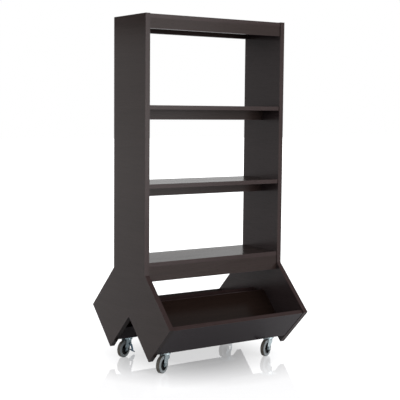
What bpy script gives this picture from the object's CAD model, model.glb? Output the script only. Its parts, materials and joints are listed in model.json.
import json
import math

import bpy
from mathutils import Matrix, Vector


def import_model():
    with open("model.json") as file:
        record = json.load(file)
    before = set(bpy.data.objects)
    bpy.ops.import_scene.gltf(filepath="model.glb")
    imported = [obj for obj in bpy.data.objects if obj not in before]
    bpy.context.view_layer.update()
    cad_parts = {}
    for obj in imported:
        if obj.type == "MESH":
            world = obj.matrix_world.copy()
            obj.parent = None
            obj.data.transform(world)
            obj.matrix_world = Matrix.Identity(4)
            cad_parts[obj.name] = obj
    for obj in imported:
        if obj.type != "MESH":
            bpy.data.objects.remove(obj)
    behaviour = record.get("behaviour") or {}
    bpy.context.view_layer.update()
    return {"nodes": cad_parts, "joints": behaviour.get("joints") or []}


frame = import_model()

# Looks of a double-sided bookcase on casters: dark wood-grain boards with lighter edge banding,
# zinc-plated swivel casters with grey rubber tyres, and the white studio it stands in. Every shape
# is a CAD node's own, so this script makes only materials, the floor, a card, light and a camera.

nodes = frame["nodes"]

# Camera, solved from the corners of the side panels in the photograph
CAMERA_AT = Vector((-2.50234, -3.69253, 1.12055))
CAMERA_YAW = math.radians(34.149)
CAMERA_PITCH = math.radians(5.172)
CAMERA_ROLL = math.radians(0.5115)
FOCAL_PX = 986.8
IMAGE_PX = 400
SENSOR_MM = 36.0
CLIP_END = 100.0

# Colours, in linear RGB
WHITE = (1.0, 1.0, 1.0)
LAMINATE = (0.0395, 0.0262, 0.0237)
LAMINATE_LIGHT = (0.0530, 0.0360, 0.0328)
LAMINATE_PORE = (0.010, 0.006, 0.005)
BANDING = (0.044, 0.0265, 0.0255)
BANDING_LIGHT = (0.058, 0.0350, 0.0340)
ZINC = (0.52, 0.61, 0.64)
ZINC_DARK = (0.24, 0.30, 0.33)
ZINC_BLUE = (0.12, 0.20, 0.28)
BEARING = (0.55, 0.55, 0.56)
CORE = (0.004, 0.004, 0.005)
TYRE_SIDE = (0.40, 0.44, 0.46)
TYRE_TREAD = (0.190, 0.172, 0.148)
BEECH = (0.52, 0.34, 0.18)

# What the laminate's colours are multiplied by on boards that are darker or cooler than the rest
PLAIN_TINT = (1.0, 1.0, 1.0)
SHADE_TINT = (0.50, 0.49, 0.70)
BIN_FLOOR_TINT = (0.55, 0.48, 0.42)
RIGHT_TINT = (1.08, 1.18, 1.32)

# Refractive index of the laminate's surface, which sets how strongly a board mirrors
BOARD_IOR = 1.22
SHELF_IOR = 1.12
SHADE_IOR = 1.14
BIN_FLOOR_IOR = 1.28

# Colour share and specular level of edge banding that looks down
LEFT_UNDER = (0.45, 0.10)
RIGHT_UNDER = (0.90, 0.14)
RAIL_UNDER = (0.80, 0.02)

# Features per metre across the grain, and how many times longer they are along it
FIGURE = (18.0, 9.0)
STREAK = (150.0, 26.0)
PORE = (900.0, 20.0)
BANDING_STREAK = (260.0, 70.0)
BEECH_FLECK = (900.0, 20.0)

# Features per metre along each axis
DRAWING_MARKS = (2600.0, 300.0, 2600.0)

# Where in the noise each board's grain is taken from, so that no two boards are alike
LEFT_PANEL_GRAIN = 0.0
RIGHT_PANEL_GRAIN = 11.0
FIRST_BOARD_GRAIN = 23.0
BOARD_GRAIN_STEP = 5.3

# Least share of a normal along the axle on a tyre's flank, and highest z of one that looks down
FLANK = 0.35
UNDER = -0.3

# Heights of the relief that the materials add, in metres
SMOOTH_RELIEF = 0.00003
MOULDED_RELIEF = 0.00005
RUBBER_RELIEF = 0.00008
BEECH_RELIEF = 0.00004

# Half the floor's width, its colour for the light that it bounces, and its colour as it is seen
FLOOR_HALF = 30.0
FLOOR = (0.32, 0.32, 0.32)
FLOOR_SEEN = (0.60, 0.60, 0.625)

# How much the floor lifts towards white, near and far, between two distances from a point under
# the case, and the share of this lift that reflections show
LIFT_CENTRE = (0.0, 0.06, 0.0)
LIFT_FROM = 0.18
LIFT_TO = 0.60
LIFT_NEAR = 0.27
LIFT_FAR = 0.78
LIFT_REFLECTED = 0.6

# A dark card that only gloss sees; its place is the middle of its lower edge
FLAG = (0.03, 0.03, 0.03)
FLAG_AT = (-2.05, 2.50, 1.71)
FLAG_WIDTH = 2.4
FLAG_HEIGHT = 1.6

# The one lamp, its middle and the point that it faces
SOFTBOX_AT = (1.6, -4.1, 1.2)
SOFTBOX_AIM = (0.0, 0.0, 0.8)
SOFTBOX_WIDTH = 2.0
SOFTBOX_HEIGHT = 2.2
SOFTBOX_WATTS = 48.0

# The surround's strength above the backdrop, and the sines of the elevations between which it fades
CEILING_LIGHT = 0.41
BACKDROP_TOP = 0.26
CEILING_FROM = 0.50

# Sockets of the mix node when it mixes colours
MIX_A, MIX_B, MIX_RESULT = 6, 7, 2


# Materials


class Shader:
    """Node building for one material, in short calls."""

    def __init__(self, name):
        self.material = bpy.data.materials.new(name)
        self.material.use_nodes = True
        self.tree = self.material.node_tree
        self.surface = self.tree.nodes["Principled BSDF"]
        self.place = self.add("ShaderNodeTexCoord").outputs["Object"]

    def add(self, kind, **settings):
        node = self.tree.nodes.new(kind)
        for key, value in settings.items():
            setattr(node, key, value)
        return node

    def join(self, a, b):
        self.tree.links.new(a, b)

    def set(self, **values):
        """Sets the surface's own sockets, named with _ for each space."""
        for key, value in values.items():
            socket = self.surface.inputs[key.replace("_", " ")]
            socket.default_value = (*value, 1.0) if isinstance(value, tuple) else value

    def noise(self, scale, detail=3.0, roughness=0.5, distortion=0.0, offset=0.0):
        """Noise over object space; scale is features per metre, one number or one for each axis."""
        scales = scale if isinstance(scale, tuple) else (scale,) * 3
        mapping = self.add("ShaderNodeMapping")
        mapping.inputs["Scale"].default_value = scales
        mapping.inputs["Location"].default_value = (offset, offset * 0.7, offset * 1.3)
        self.join(self.place, mapping.inputs["Vector"])
        node = self.add("ShaderNodeTexNoise")
        node.inputs["Scale"].default_value = 1.0
        node.inputs["Detail"].default_value = detail
        node.inputs["Roughness"].default_value = roughness
        node.inputs["Distortion"].default_value = distortion
        self.join(mapping.outputs["Vector"], node.inputs["Vector"])
        return node.outputs["Fac"]

    def span(self, value, low, high, to_low=0.0, to_high=1.0):
        """Maps value from low..high to to_low..to_high, and holds it there."""
        node = self.add("ShaderNodeMapRange")
        node.inputs["From Min"].default_value = low
        node.inputs["From Max"].default_value = high
        node.inputs["To Min"].default_value = to_low
        node.inputs["To Max"].default_value = to_high
        self.join(value, node.inputs["Value"])
        return node.outputs["Result"]

    def mix(self, share, a, b):
        """Colour a where share is 0 and colour b where it is 1."""
        node = self.add("ShaderNodeMix", data_type="RGBA")
        self.join(share, node.inputs["Factor"])
        for socket, value in ((node.inputs[MIX_A], a), (node.inputs[MIX_B], b)):
            if isinstance(value, tuple):
                socket.default_value = (*value, 1.0)
            else:
                self.join(value, socket)
        return node.outputs[MIX_RESULT]

    def math(self, operation, a, b):
        node = self.add("ShaderNodeMath", operation=operation)
        for socket, value in ((node.inputs[0], a), (node.inputs[1], b)):
            if isinstance(value, (int, float)):
                socket.default_value = value
            else:
                self.join(value, socket)
        return node.outputs[0]

    def weigh(self, a, share_a, b, share_b):
        """Weighted sum of two values."""
        part_a = self.math("MULTIPLY", a, share_a)
        part_b = self.math("MULTIPLY", b, share_b)
        return self.math("ADD", part_a, part_b)

    def colour(self, output):
        self.join(output, self.surface.inputs["Base Color"])

    def roughness(self, output):
        self.join(output, self.surface.inputs["Roughness"])

    def bump(self, height, distance, strength=1.0):
        node = self.add("ShaderNodeBump")
        node.inputs["Strength"].default_value = strength
        node.inputs["Distance"].default_value = distance
        self.join(height, node.inputs["Height"])
        self.join(node.outputs["Normal"], self.surface.inputs["Normal"])


def along(axis, fine, stretch):
    """Feature counts per metre for grain that runs along axis, stretched by that factor."""
    return tuple(fine / stretch if "XYZ"[i] == axis else fine for i in range(3))


def scaled(colour, share):
    """A colour times one number, or times one number for each channel."""
    shares = share if isinstance(share, tuple) else (share,) * 3
    return tuple(channel * part for channel, part in zip(colour, shares))


def laminate(name, grain, offset, tint=PLAIN_TINT, ior=BOARD_IOR):
    """Printed wood-grain board: figure, fine streaks and short pores along the grain."""
    s = Shader(name)
    s.set(IOR=ior)
    figure = s.noise(along(grain, *FIGURE), detail=4.0, distortion=0.8, offset=offset)
    streaks = s.noise(along(grain, *STREAK), detail=4.0, roughness=0.55, offset=offset + 3.1)
    pores = s.noise(along(grain, *PORE), detail=2.0, offset=offset + 7.7)
    mixed = s.weigh(figure, 0.6, streaks, 0.4)
    wood = s.mix(s.span(mixed, 0.30, 0.70), scaled(LAMINATE, tint), scaled(LAMINATE_LIGHT, tint))
    pore_share = s.span(pores, 0.60, 0.74)
    s.colour(s.mix(s.math("MULTIPLY", pore_share, 0.5), wood, scaled(LAMINATE_PORE, tint)))
    s.roughness(s.span(mixed, 0.3, 0.7, 0.19, 0.25))
    relief = s.math("SUBTRACT", s.math("MULTIPLY", streaks, 0.4), pore_share)
    s.bump(relief, SMOOTH_RELIEF, 0.4)
    return s.material


def banding(name, grain, offset, tone=1.0, gloss=0.18):
    """Plastic edge strip: an even, redder brown with a fine printed streak."""
    s = Shader(name)
    s.set(Specular_IOR_Level=gloss)
    streaks = s.noise(along(grain, *BANDING_STREAK), detail=4.0, offset=offset)
    cloud = s.noise(30.0, detail=2.0, offset=offset + 1.9)
    mixed = s.weigh(streaks, 0.7, cloud, 0.3)
    s.colour(s.mix(s.span(mixed, 0.36, 0.64), scaled(BANDING, tone), scaled(BANDING_LIGHT, tone)))
    s.roughness(s.span(mixed, 0.3, 0.7, 0.20, 0.27))
    s.bump(streaks, SMOOTH_RELIEF, 0.4)
    return s.material


def plated(name, colour, smooth, dull):
    """Plated or bright steel: clouds from smooth to dull, and fine drawing marks."""
    s = Shader(name)
    s.set(Metallic=1.0)
    cloud = s.noise(90.0, detail=4.0, roughness=0.6)
    marks = s.noise(DRAWING_MARKS, detail=2.0)
    s.colour(s.mix(s.span(cloud, 0.35, 0.65), scaled(colour, 0.80), colour))
    s.roughness(s.span(cloud, 0.3, 0.7, dull, smooth))
    s.bump(marks, SMOOTH_RELIEF, 0.5)
    return s.material


def moulded(name, colour, roughness):
    """Moulded black plastic with a fine spark-eroded texture."""
    s = Shader(name)
    s.set(Specular_IOR_Level=0.2)
    grain = s.noise(1800.0, detail=3.0)
    s.colour(s.mix(s.span(grain, 0.4, 0.65), colour, scaled(colour, 1.6)))
    s.roughness(s.span(grain, 0.35, 0.65, roughness - 0.06, roughness + 0.08))
    s.bump(grain, MOULDED_RELIEF, 0.5)
    return s.material


def rubber(name, colour, dust):
    """Grey rubber, scuffed and with floor dust in patches."""
    s = Shader(name)
    s.set(Specular_IOR_Level=0.3)
    scuff = s.noise(420.0, detail=5.0, roughness=0.65)
    patch = s.noise(60.0, detail=3.0, offset=2.3)
    base = s.mix(s.span(scuff, 0.38, 0.62), scaled(colour, 0.78), colour)
    s.colour(s.mix(s.math("MULTIPLY", s.span(patch, 0.5, 0.75), 0.4), base, dust))
    s.roughness(s.span(scuff, 0.35, 0.65, 0.55, 0.72))
    s.bump(scuff, RUBBER_RELIEF, 0.6)
    return s.material


def beech(name):
    """Plain beech of the dowels, which lie along X."""
    s = Shader(name)
    s.set(Roughness=0.6)
    fleck = s.noise(along("X", *BEECH_FLECK), detail=3.0)
    s.colour(s.mix(s.span(fleck, 0.4, 0.7), BEECH, scaled(BEECH, 0.75)))
    s.bump(fleck, BEECH_RELIEF, 0.5)
    return s.material


def dress(node, material):
    """Gives a carried-over CAD node one material."""
    slots = nodes[node].data.materials
    slots.clear()
    slots.append(material)


def dress_under(node, material):
    """Gives the faces of a node that look down a material of their own."""
    mesh = nodes[node].data
    mesh.materials.append(material)
    for face in mesh.polygons:
        if face.normal.z < UNDER:
            face.material_index = len(mesh.materials) - 1


def dress_tyre(corner, side, tread):
    """One rubber on the flanks and another, darker with floor dust, on the running surface."""
    spin = next(joint for joint in frame["joints"] if joint["name"] == corner + "_wheel_spin")
    axle = Vector(spin["axis"]).normalized()
    dress(corner + "_tyre", side)
    mesh = nodes[corner + "_tyre"].data
    mesh.materials.append(tread)
    for face in mesh.polygons:
        face.material_index = 0 if abs(face.normal.dot(axle)) > FLANK else 1


def board_finish(name):
    """The tint and the refractive index of a board that lies along X."""
    if name.endswith("bin_floor"):
        return BIN_FLOOR_TINT, BIN_FLOOR_IOR
    if "caster" in name:
        return SHADE_TINT, SHADE_IOR
    if name.endswith("shelf") or name == "top_board":
        return PLAIN_TINT, SHELF_IOR
    return PLAIN_TINT, BOARD_IOR


def dress_boards():
    """Laminate on every board. The grain is level: front to back on panels, along X on the rest."""
    dress("left_side_panel", laminate("left_side_panel_laminate", "Y", LEFT_PANEL_GRAIN))
    right = laminate("right_side_panel_laminate", "Y", RIGHT_PANEL_GRAIN, RIGHT_TINT)
    dress("right_side_panel", right)
    boards = [
        "top_board", "top_front_rail", "top_back_rail",
        "upper_shelf", "upper_shelf_spine", "middle_shelf", "middle_shelf_spine",
        "lower_shelf", "lower_front_rail", "lower_back_rail",
        "front_bin_face", "front_bin_floor", "back_bin_face", "back_bin_floor",
        "front_caster_board", "back_caster_board", "caster_rails",
    ]
    for i, name in enumerate(boards):
        offset = FIRST_BOARD_GRAIN + BOARD_GRAIN_STEP * i
        dress(name, laminate(name + "_laminate", "X", offset, *board_finish(name)))
        if name.endswith("bin_face"):
            dress_under(name, laminate(name + "_under", "X", offset, SHADE_TINT))


def dress_banding():
    """Edge banding, which is darker and duller under the edges of the panels and rails."""
    upright = banding("panel_banding", "Z", offset=1.0)
    level = banding("shelf_banding", "X", offset=4.0)
    for side, under in (("left", LEFT_UNDER), ("right", RIGHT_UNDER)):
        name = side + "_panel_edging"
        dress(name, upright)
        dress_under(name, banding(side + "_banding_under", "Z", 2.0, *under))
    for name in ("shelf_edging", "rail_edging", "bin_edging"):
        dress(name, level)
    dress_under("rail_edging", banding("rail_banding_under", "X", 4.0, *RAIL_UNDER))


def dress_fittings():
    """Bolts, nuts and screws in zinc, and dowels in beech."""
    zinc = plated("fitting_zinc", ZINC, smooth=0.24, dull=0.38)
    for name in ("cam_bolts", "cam_nuts", "caster_screws"):
        dress(name, zinc)
    dress("dowels", beech("dowel_beech"))


def dress_casters():
    """The two back casters have a brake and a darker plating."""
    pressed = plated("pressed_zinc", ZINC, smooth=0.20, dull=0.34)
    braked = plated("braked_zinc", ZINC_DARK, smooth=0.20, dull=0.34)
    lever = plated("lever_zinc", ZINC_BLUE, smooth=0.26, dull=0.40)
    balls = plated("ball_steel", BEARING, smooth=0.10, dull=0.20)
    core = moulded("wheel_core", CORE, roughness=0.45)
    side = rubber("tyre_flank", TYRE_SIDE, dust=TYRE_TREAD)
    tread = rubber("tyre_tread", TYRE_TREAD, dust=TYRE_SIDE)
    for corner in ("front_left", "front_right", "back_left", "back_right"):
        for piece in ("plate", "kingpin", "fork", "axle"):
            dress(f"{corner}_{piece}", braked if corner.startswith("back") else pressed)
        dress(corner + "_balls", balls)
        dress(corner + "_core", core)
        dress_tyre(corner, side, tread)
    for corner in ("back_left", "back_right"):
        dress(corner + "_brake_lever", lever)
        dress(corner + "_brake_rivets", braked)


# Studio


def placed(name, data):
    """A new object in the scene."""
    made = bpy.data.objects.new(name, data)
    bpy.context.scene.collection.objects.link(made)
    return made


def plane(name, corners, material):
    """One flat face of the studio."""
    mesh = bpy.data.meshes.new(name)
    mesh.from_pydata(corners, [], [(0, 1, 2, 3)])
    mesh.materials.append(material)
    return placed(name, mesh)


def camera():
    """The photograph's viewpoint and field of view."""
    ahead = Vector((
        math.sin(CAMERA_YAW) * math.cos(CAMERA_PITCH),
        math.cos(CAMERA_YAW) * math.cos(CAMERA_PITCH),
        -math.sin(CAMERA_PITCH),
    ))
    level = Vector((math.cos(CAMERA_YAW), -math.sin(CAMERA_YAW), 0.0))
    upward = level.cross(ahead)
    right = math.cos(CAMERA_ROLL) * level + math.sin(CAMERA_ROLL) * upward
    up = math.cos(CAMERA_ROLL) * upward - math.sin(CAMERA_ROLL) * level
    data = bpy.data.cameras.new("camera")
    data.sensor_width = SENSOR_MM
    data.lens = FOCAL_PX * SENSOR_MM / IMAGE_PX
    data.clip_end = CLIP_END
    made = placed("camera", data)
    turn = Matrix((right, up, -ahead)).transposed()
    made.matrix_world = Matrix.Translation(CAMERA_AT) @ turn.to_4x4()
    bpy.context.scene.camera = made


def floor():
    """A large pale floor that looks white where nothing shades it and keeps the case's shadow."""
    s = Shader("floor_white")
    s.set(Roughness=0.03, IOR=2.0)
    rays = s.add("ShaderNodeLightPath").outputs
    reflected = s.math("MAXIMUM", rays["Is Glossy Ray"], rays["Is Transmission Ray"])
    seen = s.math("MAXIMUM", rays["Is Camera Ray"], reflected)
    s.colour(s.mix(seen, FLOOR, FLOOR_SEEN))
    reach = s.add("ShaderNodeVectorMath", operation="DISTANCE")
    reach.inputs[1].default_value = LIFT_CENTRE
    s.join(s.place, reach.inputs[0])
    lift = s.span(reach.outputs["Value"], LIFT_FROM, LIFT_TO, LIFT_NEAR, LIFT_FAR)
    s.set(Emission_Color=WHITE)
    share = s.math("MULTIPLY", reflected, LIFT_REFLECTED)
    share = s.math("MAXIMUM", rays["Is Camera Ray"], share)
    s.join(s.math("MULTIPLY", share, lift), s.surface.inputs["Emission Strength"])
    half = FLOOR_HALF
    corners = [(-half, -half, 0.0), (half, -half, 0.0), (half, half, 0.0), (-half, half, 0.0)]
    made = plane("floor", corners, s.material)


def flag():
    """The dark card behind the case on the left, which darkens the gloss of the panels' tops."""
    s = Shader("flag_black")
    s.set(Base_Color=FLAG, Roughness=1.0, Specular_IOR_Level=0.0)
    half = FLAG_WIDTH / 2
    top = FLAG_HEIGHT
    corners = [(-half, 0.0, 0.0), (half, 0.0, 0.0), (half, 0.0, top), (-half, 0.0, top)]
    made = plane("flag", corners, s.material)
    made.location = FLAG_AT
    made.rotation_euler = (0.0, 0.0, CAMERA_YAW)
    made.visible_camera = False
    made.visible_diffuse = False
    made.visible_transmission = False
    made.visible_shadow = False


def softbox():
    """One large soft light in front, to the right of the camera."""
    data = bpy.data.lights.new("softbox", "AREA")
    data.shape = "RECTANGLE"
    data.size = SOFTBOX_WIDTH
    data.size_y = SOFTBOX_HEIGHT
    data.energy = SOFTBOX_WATTS
    made = placed("softbox", data)
    made.location = SOFTBOX_AT
    aim = Vector(SOFTBOX_AIM) - made.location
    made.rotation_euler = aim.to_track_quat("-Z", "Y").to_euler()


def world():
    """A white surround at the level of the case that darkens towards the ceiling."""
    made = bpy.data.worlds.new("studio")
    bpy.context.scene.world = made
    made.use_nodes = True
    tree = made.node_tree
    background = tree.nodes["Background"]
    direction = tree.nodes.new("ShaderNodeTexCoord").outputs["Generated"]
    parts = tree.nodes.new("ShaderNodeSeparateXYZ")
    tree.links.new(direction, parts.inputs[0])
    fade = tree.nodes.new("ShaderNodeMapRange")
    fade.interpolation_type = "SMOOTHSTEP"
    fade.inputs["From Min"].default_value = BACKDROP_TOP
    fade.inputs["From Max"].default_value = CEILING_FROM
    fade.inputs["To Min"].default_value = 1.0
    fade.inputs["To Max"].default_value = CEILING_LIGHT
    tree.links.new(parts.outputs["Z"], fade.inputs["Value"])
    tree.links.new(fade.outputs["Result"], background.inputs["Strength"])
    background.inputs["Color"].default_value = (*WHITE, 1.0)


dress_boards()
dress_banding()
dress_fittings()
dress_casters()
camera()
floor()
flag()
softbox()
world()
bpy.context.scene.view_settings.view_transform = "Standard"
